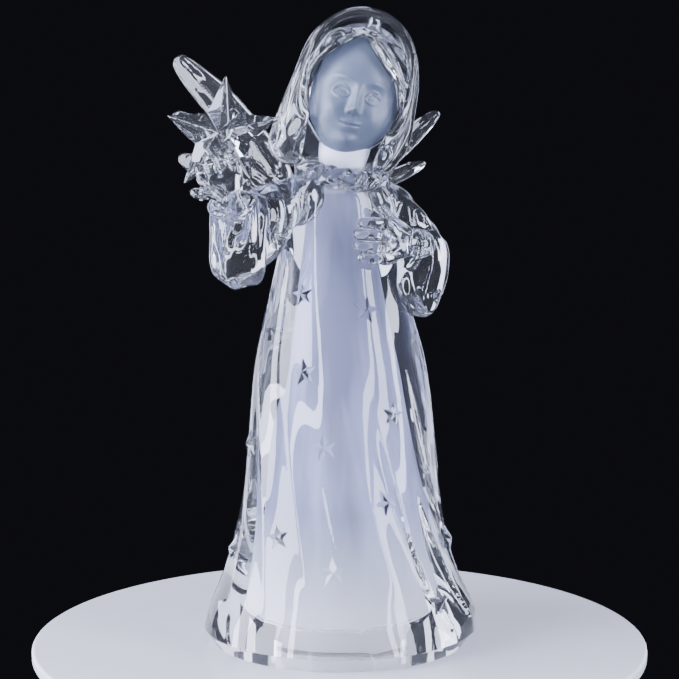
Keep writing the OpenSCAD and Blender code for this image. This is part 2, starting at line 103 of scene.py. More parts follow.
def eased(stations, t):
    """A smooth curve through (position, value) stations."""
    last = len(stations) - 1
    i = next((k for k in range(last) if t <= stations[k + 1][0]), last - 1)
    (t0, v0), (t1, v1) = stations[i], stations[i + 1]
    step = t1 - t0

    def slope(k):
        k0, k1 = max(k - 1, 0), min(k + 1, last)
        return (stations[k1][1] - stations[k0][1]) / (stations[k1][0] - stations[k0][0])

    s = min(max((t - t0) / step, 0.0), 1.0)
    rise_out, rise_in = slope(i) * step, slope(i + 1) * step
    return ((2 * s ** 3 - 3 * s ** 2 + 1) * v0 + (s ** 3 - 2 * s ** 2 + s) * rise_out
            + (3 * s ** 2 - 2 * s ** 3) * v1 + (s ** 3 - s ** 2) * rise_in)


def turned(degrees, axis):
    """A rotation matrix, in degrees."""
    return Matrix.Rotation(math.radians(degrees), 4, axis)


# ---- settings


class GownSettings(bpy.types.PropertyGroup):
    fold_depth: FloatProperty(
        name="Fold depth", description="Strength of the skirt's folds", default=1.0, min=0.0, max=1.6)
    fold_count: IntProperty(
        name="Folds", description="Folds round the skirt", default=9, min=5, max=12)
    fold_turn: FloatProperty(
        name="Fold turn", description="Turn of the folds from waist to hem", default=math.radians(64),
        subtype="ANGLE")
    star_radius: FloatProperty(
        name="Relief star", description="Tip radius of a relief star in millimetres", default=5.0,
        min=3.0, max=5.5)
    star_rise: FloatProperty(
        name="Relief", description="Height of a relief star in millimetres", default=1.9, min=0.5,
        max=2.5)


class HeadSettings(bpy.types.PropertyGroup):
    lean: FloatProperty(
        name="Lean", description="Lean of the head to her left", default=math.radians(15),
        subtype="ANGLE")
    turn: FloatProperty(
        name="Turn", description="Turn of the head to her right", default=math.radians(14),
        subtype="ANGLE")
    hood_wall: FloatProperty(
        name="Hood wall", description="Thickness of the hood in millimetres", default=2.6, min=2.0,
        max=3.5)


class WingSettings(bpy.types.PropertyGroup):
    right_sweep: FloatProperty(
        name="Right sweep", description="Her right wing behind the shoulder line",
        default=math.radians(35), subtype="ANGLE")
    left_sweep: FloatProperty(
        name="Left sweep", description="Her left wing behind the shoulder line", default=math.radians(37),
        subtype="ANGLE")
    left_droop: FloatProperty(
        name="Left droop", description="Her left wing below the right one", default=math.radians(13),
        subtype="ANGLE")
    left_spread: FloatProperty(
        name="Left spread", description="Spread of the left feathers", default=0.86, min=0.7, max=1.0)
    left_roll: FloatProperty(
        name="Left roll", description="Roll of each left feather about its quill",
        default=math.radians(62), subtype="ANGLE")
    thickness: FloatProperty(
        name="Feather", description="Thickness of a feather in millimetres", default=3.2, min=2.0,
        max=4.5)


class StarSettings(bpy.types.PropertyGroup):
    radius: FloatProperty(
        name="Radius", description="Radius of the star's tips in millimetres", default=20.0, min=16.0,
        max=22.0)
    rise: FloatProperty(
        name="Rise", description="Half thickness at the middle in millimetres", default=5.0, min=3.0,
        max=6.0)
    waist: FloatProperty(
        name="Waist", description="Inner corners as a share of the tips", default=0.45, min=0.35,
        max=0.55)


COLOUR = {"size": 3, "subtype": "COLOR", "min": 0.0, "max": 1.0}


class FinishSettings(bpy.types.PropertyGroup):
    clear: FloatVectorProperty(
        name="Clear resin", description="Tint of the clear castings", default=(0.955, 0.97, 1.0),
        **COLOUR)
    core: FloatVectorProperty(
        name="Frosted core", description="Colour of the frosted core", default=(0.46, 0.485, 0.72),
        **COLOUR)
    # Painted lamplight: the pale colour the core turns to at its foot, as if lit by the lamp below.
    core_foot_painted_glow: FloatVectorProperty(
        name="Core's foot", description="Colour of the frosted core at the foot",
        default=(0.93, 0.94, 1.0), **COLOUR)
    # The neck's frosted lavender, painted pale as if lit by the lamp from the chamber below.
    neck: FloatVectorProperty(
        name="Neck", description="Colour of the frosted neck", default=(0.76, 0.78, 0.9), **COLOUR)
    face: FloatVectorProperty(
        name="Face", description="Colour of the frosted face", default=(0.095, 0.117, 0.168), **COLOUR)
    floor: FloatVectorProperty(
        name="Floor", description="Colour of the table", default=(0.62, 0.62, 0.64), **COLOUR)


# ---- finishes


class Num:
    """A shader socket that can be used in Python arithmetic, which adds Math nodes."""

    def __init__(self, finish, socket):
        self.finish = finish
        self.socket = socket

    def maths(self, operation, *terms):
        sockets = {i: term for i, term in enumerate(terms)}
        return self.finish.node("ShaderNodeMath", {"operation": operation}, sockets)

    def __add__(self, other):
        return self.maths("ADD", self, other)

    def __sub__(self, other):
        return self.maths("SUBTRACT", self, other)

    def __rsub__(self, other):
        return self.maths("SUBTRACT", other, self)

    def __mul__(self, other):
        return self.maths("MULTIPLY", self, other)

    def __truediv__(self, other):
        return self.maths("DIVIDE", self, other)

    __radd__ = __add__
    __rmul__ = __mul__

    def clamped(self):
        """The value held between 0 and 1."""
        return self.finish.node("ShaderNodeClamp", {}, {"Value": self})


class Finish:
    """A material in the making, with short ways to add its nodes."""

    def __init__(self, name, **constants):
        self.material = bpy.data.materials.new(name)
        self.material.use_nodes = True
        self.tree = self.material.node_tree
        self.shader = self.tree.nodes["Principled BSDF"]
        for socket, value in constants.items():
            self.shader.inputs[socket.replace("_", " ")].default_value = value
        self.place = self.node("ShaderNodeTexCoord", output="Object")

    def node(self, kind, settings=(), sockets=(), output=0):
        """Adds a node, sets it up and feeds its sockets; returns one of its outputs."""
        node = self.tree.nodes.new(kind)
        for key, value in dict(settings).items():
            if key == "stops":
                self.set_stops(node.color_ramp, value)
            else:
                setattr(node, key, value)
        for key, value in dict(sockets).items():
            self.feed(node.inputs[key], value)
        return Num(self, node.outputs[output])

    def feed(self, socket, value):
        """Links a socket, or gives it a value."""
        if isinstance(value, Num):
            self.tree.links.new(value.socket, socket)
        else:
            socket.default_value = value

    @staticmethod
    def set_stops(ramp, stops):
        """Sets a ramp's stops, each a position and a colour."""
        while len(ramp.elements) < len(stops):
            ramp.elements.new(1.0)
        for element, (position, colour) in zip(ramp.elements, stops):
            element.position = position
            element.color = (*colour, 1.0)

    def set(self, **sockets):
        """Feeds the shader's sockets."""
        for key, value in sockets.items():
            self.feed(self.shader.inputs[key.replace("_", " ")], value)

    def stretched(self, scale):
        """Object coordinates scaled by a vector."""
        return self.node("ShaderNodeMapping", {}, {"Vector": self.place, "Scale": scale})

    def grain(self, size_mm, detail=2.0, place=None, distortion=0.0):
        """Noise with features of about size_mm."""
        return self.node("ShaderNodeTexNoise", {}, {
            "Vector": place or self.place, "Scale": 1 / (size_mm * MM), "Detail": detail,
            "Distortion": distortion})

    def ramp(self, value, *stops):
        """A colour from a value."""
        return self.node("ShaderNodeValToRGB", {"stops": stops}, {"Fac": value})

    def blend(self, factor, first, second):
        """A mix of two colours."""
        return self.node("ShaderNodeMix", {"data_type": "RGBA"}, {0: factor, 6: first, 7: second}, output=2)

    def shaded(self, value, colour, low, high=1.0):
        """A colour that runs from a low to a high share of itself."""
        first, second = (rgba([min(c * share, 1.0) for c in colour]) for share in (low, high))
        return self.blend(value, first, second)

    def height(self, low_mm, high_mm):
        """0 to 1 from one height of the figure to another."""
        z = self.node("ShaderNodeSeparateXYZ", {}, {0: self.place}, output="Z")
        return ((z - low_mm * MM) / ((high_mm - low_mm) * MM)).clamped()

    def bump(self, value, depth_mm):
        """Feeds the shader's normal from a height."""
        self.set(Normal=self.node("ShaderNodeBump", {}, {"Height": value, "Distance": depth_mm * MM}))


RESIN_IOR = 1.49
# Slightly under 1, for the faint haze of cast resin.
CLARITY = 0.985
# Colour of painted lamplight, given as emission to the frosted core and neck, which are no lamps.
PAINTED_LAMP_GLOW = (0.8, 0.84, 1.0, 1.0)


def rgba(colour):
    """A colour of three shares as a shader colour."""
    return (*colour[:3], 1.0)


def clear_resin(name, ripple_mm, ripple_depth_mm):
    """Polished clear casting resin, with the soft ripples of a hand-poured mould."""
    tint = bpy.context.scene.angel_finish.clear
    finish = Finish(name, IOR=RESIN_IOR, Transmission_Weight=CLARITY)
    cloud = finish.grain(9.0)
    finish.set(Base_Color=finish.ramp(cloud, (0.35, [c * 0.985 for c in tint]), (0.7, tint)),
               Roughness=finish.grain(3.0) * 0.02)
    finish.bump(finish.grain(ripple_mm, detail=1.0, distortion=0.6), ripple_depth_mm)
    return finish.material


def frosted_core():
    """Sandblasted inside wall: cool lilac grey with painted upright streaks of reflected light and shade,
    and painted lamplight towards the foot.
    """
    look = bpy.context.scene.angel_finish
    finish = Finish("frosted_core", IOR=RESIN_IOR, Specular_IOR_Level=0.3, Emission_Strength=0.3)
    # Painted reflection streaks: upright stretched noise runs the colour between a darker and a paler share
    # of the core colour, standing for soft box reflections and shade on the folds.
    painted_streaks = finish.grain(14.0, place=finish.stretched((1.0, 1.0, 0.16)), detail=3.0)
    dark, pale = ([min(c * share, 1) for c in look.core] for share in (0.72, 1.45))
    body = finish.ramp(painted_streaks, (0.38, dark), (0.62, pale))
    # Painted lamplight: towards the foot the core turns pale and emits, as if lit by the lamp below.
    foot = 1 - finish.height(6, 46)
    finish.set(Base_Color=finish.blend(foot, body, rgba(look.core_foot_painted_glow)),
               Emission_Color=finish.blend(foot, (0.0, 0.0, 0.0, 1.0), PAINTED_LAMP_GLOW),
               Roughness=0.55 + 0.2 * finish.grain(0.8))
    finish.bump(finish.grain(0.35), 0.03)
    return finish.material


def frosted_face():
    """Satin blasted resin for the face."""
    look = bpy.context.scene.angel_finish
    finish = Finish("frosted_face", IOR=RESIN_IOR, Specular_IOR_Level=0.5, Sheen_Weight=0.15,
                    Sheen_Roughness=0.4)
    finish.set(Base_Color=finish.shaded(finish.grain(6.0, detail=3.0), look.face, 0.9, 1.15),
               Roughness=0.32 + 0.14 * finish.grain(0.9))
    finish.bump(finish.grain(0.3), 0.02)
    return finish.material


def frosted_neck():
    """The neck's satin surface, painted pale and given painted lamplight that fades upwards, standing for
    the lamp's light carried up from the chamber.
    """
    look = bpy.context.scene.angel_finish
    finish = Finish("frosted_neck", IOR=RESIN_IOR, Specular_IOR_Level=0.4, Emission_Strength=0.12)
    # Painted lamplight: the neck emits most at its foot and fades to a faint level by 172 mm.
    painted_glow = 1 - finish.height(158, 172)
    finish.set(Base_Color=finish.shaded(finish.grain(6.0), look.neck, 0.92),
               Emission_Color=finish.blend(painted_glow, (0.1, 0.1, 0.13, 1.0), PAINTED_LAMP_GLOW),
               Roughness=0.45 + 0.15 * finish.grain(0.9))
    finish.bump(finish.grain(0.3), 0.02)
    return finish.material


def moulded_plastic(name, colour, grain_depth_mm=0.02, painted_glow=0.0):
    """Moulded plastic with a fine spark-eroded grain; a thin white one is given painted emission in its own
    tone, standing for lamplight shining through it.
    """
    finish = Finish(name, IOR=1.48, Emission_Strength=painted_glow)
    tone = finish.shaded(finish.grain(4.0, detail=3.0), colour, 0.94)
    finish.set(Base_Color=tone, Roughness=0.38 + 0.16 * finish.grain(0.6))
    if painted_glow:
        finish.set(Emission_Color=tone)
    finish.bump(finish.grain(0.25), grain_depth_mm)
    return finish.material


def plated_metal(name, colour, brush=(1.0, 1.0, 1.0)):
    """Plated metal with fine wear and a direction of brushing."""
    finish = Finish(name, Metallic=1.0)
    strokes = finish.grain(0.5, place=finish.stretched(brush), detail=4.0)
    finish.set(Base_Color=finish.shaded(strokes, colour, 0.82), Roughness=0.2 + 0.25 * strokes)
    finish.bump(strokes, 0.01)
    return finish.material


def circuit_board():
    """Solder mask with faint copper tracks under it."""
    finish = Finish("circuit_board", IOR=1.5)
    tracks = finish.node("ShaderNodeTexBrick", {}, {
        "Vector": finish.place, "Scale": 260.0, "Mortar Size": 0.03, "Mortar Smooth": 0.2}, output="Fac")
    finish.set(Base_Color=finish.blend(tracks, (0.02, 0.13, 0.05, 1), (0.05, 0.26, 0.1, 1)),
               Roughness=0.3 + 0.1 * finish.grain(1.0))
    finish.bump(tracks, 0.02)
    return finish.material


def table_top():
    """Pale, faintly glossy table."""
    finish = Finish("table_top", IOR=1.45)
    cloud = finish.grain(30.0, detail=3.0)
    finish.set(Base_Color=finish.shaded(cloud, bpy.context.scene.angel_finish.floor, 0.95),
               Roughness=0.22 + 0.06 * finish.grain(8.0))
    return finish.material


# ---- mesh helpers


def linked(name, bm):
    """Puts a mesh into the scene as an object."""
    mesh = bpy.data.meshes.new(name)
    bm.to_mesh(mesh)
    bm.free()
    obj = bpy.data.objects.new(name, mesh)
    bpy.context.scene.collection.objects.link(obj)
    return obj


def discarded(obj):
    """Removes an object and its mesh."""
    mesh = obj.data
    bpy.data.objects.remove(obj)
    bpy.data.meshes.remove(mesh)


def piece(name, bm, material, stands_for, crease=180.0):
    """Makes the finished object from a mesh in millimetres and ties it to the frame.

    Edges that turn by more than the crease angle, in degrees, stay crisp.
    """
    bmesh.ops.scale(bm, vec=(MM, MM, MM), verts=bm.verts)
    for face in bm.faces:
        face.smooth = True
    for edge in bm.edges:
        edge.smooth = edge.calc_face_angle(0.0) < math.radians(crease)
    obj = linked(name, bm)
    obj.data.materials.append(material)
    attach(obj, MAIN_BODY)
    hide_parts(*stands_for)
    return obj


def wear(node, material):
    """Gives a node of the frame its finish."""
    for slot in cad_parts[node].material_slots:
        slot.material = material


def applied(bm, kind, **settings):
    """Runs one modifier over a mesh and returns the result."""
    draft = linked("draft", bm)
    modifier = draft.modifiers.new(kind, kind)
    for key, value in settings.items():
        setattr(modifier, key, value)
    bpy.context.view_layer.update()
    evaluated = draft.evaluated_get(bpy.context.evaluated_depsgraph_get())
    result = bmesh.new()
    result.from_mesh(evaluated.to_mesh())
    evaluated.to_mesh_clear()
    discarded(draft)
    return result


def fused(bm, voxel_mm, rounds):
    """Melts overlapping solids into one skin and smooths it."""
    result = applied(bm, "REMESH", mode="VOXEL", voxel_size=voxel_mm)
    for _ in range(rounds):
        bmesh.ops.smooth_vert(result, verts=result.verts, factor=0.5,
                              use_axis_x=True, use_axis_y=True, use_axis_z=True)
    return result


def combined(bm, other, operation):
    """One boolean operation between two closed meshes."""
    tool = linked("tool", other)
    result = applied(bm, "BOOLEAN", operation=operation, object=tool, solver="MANIFOLD")
    discarded(tool)
    return result


def outward(bm):
    """Turns every face outwards."""
    bmesh.ops.recalc_face_normals(bm, faces=bm.faces)


def cut_off(bm, place, direction):
    """Cuts away what lies past a plane and returns the cut's points and edges."""
    return bmesh.ops.bisect_plane(bm, geom=bm.verts[:] + bm.edges[:] + bm.faces[:], plane_co=place,
                                  plane_no=direction, clear_outer=True)["geom_cut"]


def add_ball(bm, centre, radius, detail=3):
    """A ball at a point."""
    return bmesh.ops.create_icosphere(bm, subdivisions=detail, radius=radius,
                                      matrix=Matrix.Translation(centre))["verts"]


def add_mesh(bm, other):
    """Adds a second mesh to the first."""
    mesh = bpy.data.meshes.new("part")
    other.to_mesh(mesh)
    other.free()
    bm.from_mesh(mesh)
    bpy.data.meshes.remove(mesh)


def add_hull(bm, balls, detail=4):
    """A skin stretched over balls; each is x, y, z and radius."""
    skin = bmesh.new()
    for x, y, z, radius in balls:
        add_ball(skin, (x, y, z), radius, detail)
    kept = set(bmesh.ops.convex_hull(skin, input=skin.verts)["geom"])
    bmesh.ops.delete(skin, geom=[f for f in skin.faces if f not in kept], context="FACES")
    bmesh.ops.delete(skin, geom=[v for v in skin.verts if not v.link_faces], context="VERTS")
    add_mesh(bm, skin)


def facing(place, direction):
    """A matrix that stands at a place and turns +Z to a direction."""
    return Matrix.Translation(place) @ Vector(direction).to_track_quat("Z", "Y").to_matrix().to_4x4()


def add_limb(bm, points, detail=3):
    """A chain of balls joined by cones; each point is x, y, z and radius."""
    for x, y, z, radius in points:
        add_ball(bm, (x, y, z), radius, detail)
    for first, second in zip(points, points[1:]):
        start, end = Vector(first[:3]), Vector(second[:3])
        along = end - start
        bmesh.ops.create_cone(bm, cap_ends=True, segments=24, radius1=first[3], radius2=second[3],
                              depth=along.length, matrix=facing((start + end) / 2, along))


def softened(points, steps=4):
    """A chain of points with radii, made finer along a smooth curve through them."""
    stations = [[(i, point[axis]) for i, point in enumerate(points)] for axis in range(4)]
    count = (len(points) - 1) * steps
    return [[eased(stations[axis], i / steps) for axis in range(4)] for i in range(count + 1)]


def moved(bm, matrix):
    """Turns and shifts a whole mesh; a mirrored one has its faces turned back outwards."""
    bmesh.ops.transform(bm, matrix=matrix, verts=bm.verts)
    if matrix.determinant() < 0:
        bmesh.ops.reverse_faces(bm, faces=bm.faces)


def shaped(bm, rule):
    """Moves every point of a mesh to where rule(point) says."""
    for vert in bm.verts:
        vert.co = rule(vert.co)


def pressed(bm, depth_mm, spot):
    """Unevenness along each point's normal; spot(point) is its place in the noise."""
    bm.normal_update()
    shifts = [noise.noise(spot(vert.co)) * depth_mm for vert in bm.verts]
    for vert, shift in zip(bm.verts, shifts):
        vert.co += vert.normal * shift


def rippled(bm, size_mm, depth_mm, seed):
    """The faint unevenness of a casting."""
    offset = Vector((seed, seed, seed))
    pressed(bm, depth_mm, lambda point: point / size_mm + offset)


STAR_CORNERS = 10


def add_ridged_star(bm, radius, waist, rise, skirt):
    """A star of five ridged arms that faces +Z, one arm along +Y, its outline at Z 0 and a skirt below."""
    made = bmesh.ops.create_cone(bm, cap_ends=True, segments=STAR_CORNERS, radius1=radius, radius2=0.0,
                                 depth=rise, matrix=Matrix.Translation((0, 0, rise / 2)))["verts"]
    rim = [v for v in made if v.co.z < rise / 2]
    rim.sort(key=lambda v: math.atan2(v.co.x, v.co.y) % math.tau)
    for vert in rim[1::2]:
        vert.co.xy *= waist
    under = next(f for f in rim[0].link_faces if len(f.verts) == STAR_CORNERS)
    pushed = bmesh.ops.extrude_discrete_faces(bm, faces=[under])["faces"]
    bmesh.ops.translate(bm, vec=(0, 0, -skirt), verts=pushed[0].verts)
    return bm


# ---- gown

GOWN_PROFILE = [
    (0.0, 0.935), (HEM_Z / GOWN_H, 1.0), (0.075, 0.952), (0.15, 0.845), (0.26, 0.744), (0.42, 0.672),
    (0.6, 0.606), (0.72, 0.52), (0.83, 0.44), (0.92, 0.41), (0.965, 0.345), (1.0, 0.17)]
# Direction round the gown from +X in degrees, height, size share, tilt of each relief star.
RELIEF_STARS = [
    (-138, 120, 0.8, 12), (-85, 115, 0.95, -14), (-132, 95, 0.95, 8), (-72, 81, 0.85, -10),
    (-177, 69, 1, 20), (-117, 71, 1, 10), (-81, 53, 1, 30), (-143, 41, 0.9, 15), (-111, 31, 1.05, 4),
    (-57, 19, 1, -8), (-7, 65, 1, 12), (-30, 36, 0.9, -20), (25, 97, 0.85, 0), (55, 50, 1, 18),
    (88, 100, 0.85, -12), (105, 28, 1, 6), (142, 62, 0.95, -16), (172, 32, 0.95, 10), (14, 22, 1, 22)]
RELIEF_WAIST = 0.45
RELIEF_SKIRT = 1.8
GOWN_ROUND = 288
RING_CUTS = 12


def gown_radius(z):
    """Radius of the plain skirt at a height: a straight bevel at the foot, then a smooth flare."""
    if z < HEM_Z:
        return HEM_R * (GOWN_PROFILE[0][1] + (1 - GOWN_PROFILE[0][1]) * z / HEM_Z)
    return HEM_R * eased(GOWN_PROFILE[1:], z / GOWN_H)


# Crisp pleats: direction at the hem in degrees, height in millimetres, lowest and highest end.
PLEATS = [
    (-158, 0.45, -10, 120), (-132, 0.8, 6, 150), (-108, 0.6, 14, 96), (-88, 1.1, -10, 74),
    (-66, 0.8, 20, 128), (-47, 1.7, -10, 84), (-30, 2.3, -10, 62), (-12, 1.3, -10, 104),
    (14, 0.8, -10, 130), (40, 1.0, -10, 90), (68, 0.8, -10, 140), (96, 0.9, -10, 80),
    (124, 0.6, -10, 130), (152, 0.4, -10, 96), (178, 0.4, -10, 140)]
PLEAT_STEEP = math.radians(3.5)
PLEAT_GENTLE = math.radians(13)
PLEAT_REACH = 0.9
FADE_IN = 22
FADE_OUT = 34


def gown_fold(angle, z):
    """Height of the folds: broad turning waves under crisp pleats, deepest on her left near the hem."""
    look = bpy.context.scene.angel_gown
    turn = look.fold_turn * (z / GOWN_H) ** 0.8
    phase = angle + turn
    wave = 0.45 * math.sin(5 * phase + 0.6) + 0.3 * math.sin(look.fold_count * phase)
    height = wave * between(4, 40, z) * (1 - 0.6 * between(90, 140, z))
    for degrees, rise, low, high in PLEATS:
        off = (phase - math.radians(degrees) + math.pi) % math.tau - math.pi
        if abs(off) < PLEAT_REACH:
            width = PLEAT_STEEP if off < 0 else PLEAT_GENTLE
            share = between(low, low + FADE_IN, z) * (1 - between(high - FADE_OUT, high, z))
            height += rise * math.exp(-abs(off) / width) * share
    return look.fold_depth * height * between(0, 12, z)


def gown_point(angle, z, fold=True):
    """A point of the gown's outside; the bust is flatter from front to back."""
    radius = gown_radius(z) + (gown_fold(angle, z) if fold else 0.0)
    depth = 1 - 0.16 * between(70, 140, z)
    return Vector((radius * math.cos(angle), radius * depth * math.sin(angle), z))


def chamber_radius(z):
    """Radius of the hollow inside the gown."""
    share = (z - SOCKET_DEPTH) / (CHAMBER_TOP - SOCKET_DEPTH)
    return CHAMBER_R + (CHAMBER_TOP_R - CHAMBER_R) * min(max(share, 0.0), 1.0)


def gown_casting():
    """The hollow casting from foot to neck, with its relief stars."""
    bm = bmesh.new()
    inside = [(0, CHAMBER_TOP), (CHAMBER_TOP_R, CHAMBER_TOP), (CHAMBER_R, SOCKET_DEPTH),
              (SOCKET_R, SOCKET_DEPTH), (SOCKET_R, 0)]
    outside = [(gown_radius(share * GOWN_H), share * GOWN_H) for share, _ in GOWN_PROFILE]
    chain = [bm.verts.new((r, 0, z)) for r, z in inside + outside + [(0, GOWN_H)]]
    edges = [bm.edges.new(pair) for pair in zip(chain, chain[1:])]
    first = len(inside)
    bmesh.ops.subdivide_edges(bm, edges=edges[first:first + len(outside) - 1], cuts=RING_CUTS)
    bmesh.ops.spin(bm, geom=bm.verts[:] + bm.edges[:], cent=(0, 0, 0), axis=(0, 0, 1),
                   angle=math.tau, steps=GOWN_ROUND, use_merge=True)
    bmesh.ops.remove_doubles(bm, verts=bm.verts, dist=0.001)

    def folded(point):
        radius = math.hypot(point.x, point.y)
        if point.z > CHAMBER_TOP + 1 and radius > 0.1 or radius > chamber_radius(point.z) + 3:
            return gown_point(math.atan2(point.y, point.x), point.z)
        return point.copy()

    shaped(bm, folded)
    outward(bm)
    return combined(bm, relief_stars(), "UNION")


def relief_stars():
    """The small raised stars, each square to the gown where it sits."""
    look = bpy.context.scene.angel_gown
    stars = bmesh.new()
    for degrees, z, size, tilt in RELIEF_STARS:
        angle = math.radians(degrees)
        centre = gown_point(angle, z)
        along = gown_point(angle, z + 5, False) - gown_point(angle, z - 5, False)
        across = gown_point(angle + 0.1, z, False) - gown_point(angle - 0.1, z, False)
        out = across.cross(along).normalized()
        up = along.normalized()
        square = Matrix((up.cross(out), up, out)).transposed().to_4x4()
        star = add_ridged_star(bmesh.new(), look.star_radius * size, RELIEF_WAIST, look.star_rise,
                               RELIEF_SKIRT)
        moved(star, Matrix.Translation(centre + out * 0.1) @ square @ turned(tilt, "Z"))
        add_mesh(stars, star)
    outward(stars)
    return stars


class ANGEL_OT_gown(bpy.types.Operator):
    """Cast the folded gown with its relief stars, and frost the core inside it"""
    bl_idname = "angel.gown"
    bl_label = "Gown and core"

    def execute(self, context):
        resin = clear_resin("clear_gown", 16.0, 0.12)
        piece("gown_casting", gown_casting(), resin, ["gown"], crease=24)
        wear("frosted_core", frosted_core())
        return {"FINISHED"}


# ---- head

HEAD_AT = Vector((5.5, 1.0, 186.5))
NECK = [(1, 1.6, 161, 6.4), (1.6, 1.4, 165, 8.2), (2.6, 1.0, 170, 8.8), (3.8, 1, 176, 8.8)]
FACE_PLANE = -5.0
EYE_X = 5.5
EYE_Z = -1.8
LIP_Z = -11.35
# Lines of each eye: height over its middle, how it falls to the corners, half width and rise.
LID_LINES = [(1.75, 0.8, 0.36, 0.5), (-1.35, 0.9, 0.32, 0.32), (2.75, 0.8, 0.3, 0.28)]
# Rounded forms of the face, the same on both sides: across, up, half width, half height and rise.
FACE_FORMS = [
    (EYE_X, -0.9, 3.9, 2.9, -1.5), (EYE_X, EYE_Z, 2.5, 1.7, 0.95), (0, -6.4, 1.5, 1.4, 1.1),
    (1.75, -7.0, 0.75, 0.8, 0.9), (0.85, -7.95, 0.45, 0.35, -0.45), (0, -9.3, 0.55, 0.8, -0.25),
    (0, -11.4, 4.0, 2.6, 0.9), (0, -14.1, 2.6, 0.8, -0.35), (0, -16.6, 3.3, 2.3, 1.5),
    (7.4, -8.2, 3.8, 3.8, 1.3)]


def head_matrix():
    """Where the head's own frame lies."""
    look = bpy.context.scene.angel_head
    return (Matrix.Translation(HEAD_AT) @ Matrix.Rotation(-look.turn, 4, "Z")
            @ Matrix.Rotation(look.lean, 4, "Y"))


def face_relief(x, z):
    """How far the features of a calm, evenly built face stand out at a point of its front."""
    side = abs(x)
    relief = sum(rise * bell(side - across, wide) * bell(z - up, tall)
                 for across, up, wide, tall, rise in FACE_FORMS)
    eye_x, eye_z = side - EYE_X, z - EYE_Z
    almond = 1 - (eye_x / 3.1) ** 2
    if almond > 0:
        lids = sum(rise * bell(eye_z - up * almond ** fall, wide) for up, fall, wide, rise in LID_LINES)
        relief += lids * min(1.0, almond * 2.5)
        ring = math.hypot(eye_x, eye_z)
        relief += 0.12 * bell(ring - 1.15, 0.16) + 0.14 * bell(ring, 0.45)
    relief += 0.5 * bell(z - 3.6 + 0.05 * eye_x ** 2, 1.0) * bell(side - 5.6, 3.6)
    bridge = between(-8.2, -5.4, z) * (1 - between(-5.0, 3.5, z) * 0.8)
    relief += 2.5 * bridge * bell(x, 1.55) * (1 - between(1, 6, z))
    lips = max(0.0, 1 - (x / 3.5) ** 2)
    over = z - LIP_Z - 0.035 * x * x
    bow = 0.22 * bell(side - 0.9, 0.6)
    relief += 0.62 * lips * bell(over - 0.72 - bow, 0.55)
    relief += 0.8 * lips * bell(over + 0.85, 0.72) * bell(x, 2.9)
    return relief - 0.6 * lips ** 0.5 * bell(over, 0.24)


def head_form(point):
    """Turns the unit ball into a child's head: a round crown, full cheeks and a small chin."""
    x, y, z = point
    tall = 20.8 if z > 0 else 23.2
    cheek = 1 + 0.07 * bell(z + 0.42, 0.28)
    jaw = 1 - 0.2 * between(0.45, 1.0, -z)
    width = 15.4 * cheek * jaw
    front = 14.6 + 0.8 * between(0.2, 0.8, -z)
    depth = front if y < 0 else 16.0
    place = Vector((x * width + 0.4, y * depth - 2.0 * between(0.3, 1, -z), z * tall))
    if y < 0:
        weight = smooth_step(-y * 2.2)
        place.y -= weight * face_relief(place.x - 0.4, place.z)
    return place


# The hairline as (across, up) in the head's own frame, clockwise from the parting.
HAIRLINE = [
    (-2.2, 18.2), (1.2, 13.6), (5.2, 9.8), (9.6, 6.6), (12.4, 3.2), (14.6, -1.5), (17.6, -6), (18, -14),
    (13, -27), (-13, -27), (-18, -14), (-17.8, -3), (-15.6, 3.4), (-12.4, 8.2), (-8.4, 12.6), (-5, 15.6)]
# The space between the hood's two falling edges, in the same way.
THROAT = [(-14.4, 0), (14.4, 0), (10.5, -34), (-10.5, -34)]


def prism(outline, front, back, grow_front=0.0, grow_back=0.0):
    """A closed block with an upright outline, from one depth to another; each end can be widened."""
    bm = bmesh.new()
    middle = Vector((0, -6))
    rings = []
    for depth, grow in ((front, grow_front), (back, grow_back)):
        spots = [Vector(spot) + (Vector(spot) - middle).normalized() * grow for spot in outline]
        rings.append([bm.verts.new((spot.x, depth, spot.y)) for spot in spots])
    edges = [bm.edges.new((ring[i - 1], ring[i])) for ring in rings for i in range(len(ring))]
    bmesh.ops.bridge_loops(bm, edges=edges)
    bmesh.ops.holes_fill(bm, edges=bm.edges)
    outward(bm)
    return bm


def head_front(grow):
    """The front of the head up to the bonded flat behind it."""
    bm = bmesh.new()
    bmesh.ops.create_icosphere(bm, subdivisions=7, radius=1.0)
    shaped(bm, lambda p: head_form(p) * (1 + grow))
    cut = cut_off(bm, (0, FACE_PLANE + grow, 0), (0, 1, 0))
    bmesh.ops.contextual_create(bm, geom=[e for e in cut if isinstance(e, bmesh.types.BMEdge)])
    return bm


def face_insert():
    """The frosted face: the front of the head inside the hairline."""
    bm = combined(head_front(0.0), prism(HAIRLINE, -40, 20, 0.7, 0.7), "INTERSECT")
    moved(bm, head_matrix())
    return bm


def neck_core():
    """The frosted neck."""
    bm = bmesh.new()
    add_limb(bm, softened(NECK), 4)
    return fused(bm, 0.6, 6)


def crown_form(point):
    """The outside of the hair, drawn close round the head."""
    x, y, z = point
    narrow = 1 - 0.16 * between(0.3, 1.0, -z)
    place_y = y * 17.6 + (0.8 if y > 0 else -0.2)
    return Vector((x * 18.2 * narrow + 0.3, place_y, z * (23.2 if z > 0 else 22)))


def add_lock(bm, path, width):
    """One raised lock of hair, tapering to both ends."""
    points = softened([(*spot, 1.0) for spot in path], 6)
    last = len(points) - 1
    add_limb(bm, [(x, y, z, width * (0.35 + 0.65 * math.sin(math.pi * i / last) ** 0.7))
                  for i, (x, y, z, _) in enumerate(points)], 2)


